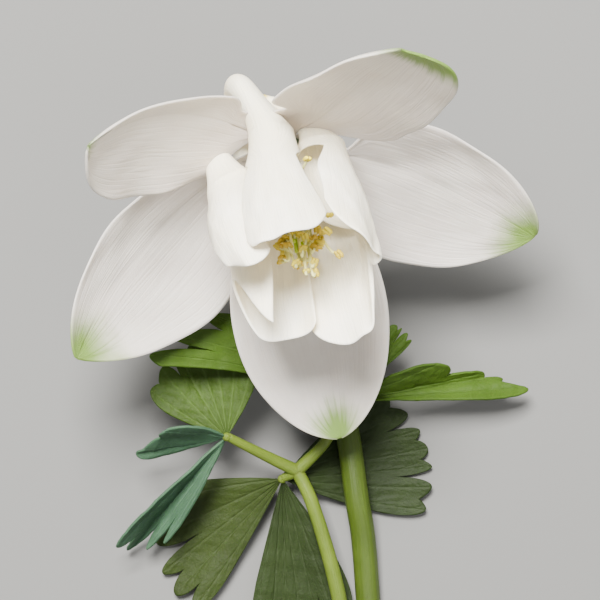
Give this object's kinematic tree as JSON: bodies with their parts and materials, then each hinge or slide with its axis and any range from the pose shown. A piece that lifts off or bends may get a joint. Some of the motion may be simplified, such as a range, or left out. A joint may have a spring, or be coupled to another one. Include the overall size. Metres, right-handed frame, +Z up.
{
  "type": "cut columbine sprig",
  "caption": "Cut sprig of white fan columbine lying on a surface: a nodding flower with green-tipped sepals, hooked spurs and yellow stamens, its stem, and a lobed leaf on its stalk.",
  "frame": {"origin": "middle of the box's bottom face, on the surface that the sprig lies on", "axes": "+Y from the stem's cut end towards the flower, the longest extent; +Z up from the surface"},
  "size_m": [0.0478, 0.0832, 0.0469],
  "materials": {
    "sepal": "thin white sepal with fine veins and a green tip",
    "petal": "thin warm white petal with fine veins",
    "stamens": "ochre yellow anthers on pale filaments",
    "pistil": "pale green carpels",
    "stem": "smooth green stem",
    "leaf_stalk": "smooth yellow green stalk",
    "leaf": "matt green leaf with paler veins"
  },
  "bodies": {
    "root": {"sepal_upper_left": "sepal", "sepal_upper_right": "sepal", "sepal_right": "sepal", "sepal_left": "sepal", "sepal_bottom": "sepal", "petal_front": "petal", "petal_right": "petal", "petal_lower_right": "petal", "petal_lower_left": "petal", "petal_left": "petal", "stamens": "stamens", "pistil": "pistil", "stem": "stem", "leaf_stalk": "leaf_stalk", "leaflet_left_fan": "leaf", "leaflet_left_edge": "leaf", "leaflet_left_low": "leaf", "leaflet_middle_left": "leaf", "leaflet_middle_low": "leaf", "leaflet_middle_right": "leaf", "leaflet_right_long": "leaf", "leaflet_right_upper": "leaf", "leaflet_right_under": "leaf"}
  },
  "joints": []
}
